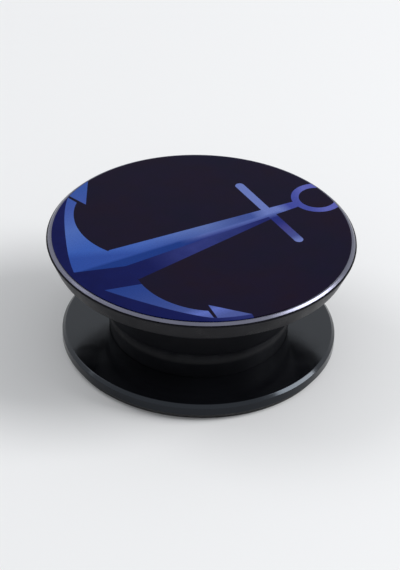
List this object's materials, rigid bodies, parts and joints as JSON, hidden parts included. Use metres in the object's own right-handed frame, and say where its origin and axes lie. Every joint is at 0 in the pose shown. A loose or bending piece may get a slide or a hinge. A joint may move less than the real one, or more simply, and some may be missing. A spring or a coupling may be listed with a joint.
{
  "type": "collapsible phone grip",
  "caption": "Pop-up grip for the back of a phone: a flat printed button on a folding accordion that swivels on a round adhesive platform.",
  "frame": {"origin": "centre of the adhesive pad's bottom face, on the turning axis", "axes": "+Z out of the phone along the turning axis, towards the button; +X along the phone's long side"},
  "size_m": [0.0397, 0.0396, 0.0163],
  "materials": {
    "adhesive": "grey foam tape, satin cut edge",
    "platform": "polished black polycarbonate",
    "hub": "fine matt black plastic",
    "accordion": "satin black elastomer",
    "button": "satin black polycarbonate",
    "plate": "bare bevelled edge with a lilac-grey tint",
    "print_field": "dark plum print under a clear gloss coat",
    "anchor_light": "light blue print under a clear gloss coat",
    "anchor_dark": "navy print under a clear gloss coat"
  },
  "bodies": {
    "platform": {"adhesive_pad": "adhesive", "platform": "platform"},
    "hub": {"hub": "hub"},
    "middle": {"accordion": "accordion"},
    "button": {"button": "button", "top_plate": "plate", "print_field": "print_field", "anchor_light": "anchor_light", "anchor_dark": "anchor_dark"}
  },
  "joints": [
    {"name": "swivel", "type": "hinge", "parent": "platform", "child": "hub", "pos_m": [0, 0, 0.0015], "axis": [0, 0, 1], "continuous": true},
    {"name": "lower_stage", "type": "slide", "parent": "hub", "child": "middle", "axis": [0, 0, 1], "range_m": [-0.0087, 0], "deforming": ["accordion"]},
    {"name": "upper_stage", "type": "slide", "parent": "middle", "child": "button", "axis": [0, 0, 1], "range_m": [0, 0.0087]}
  ]
}
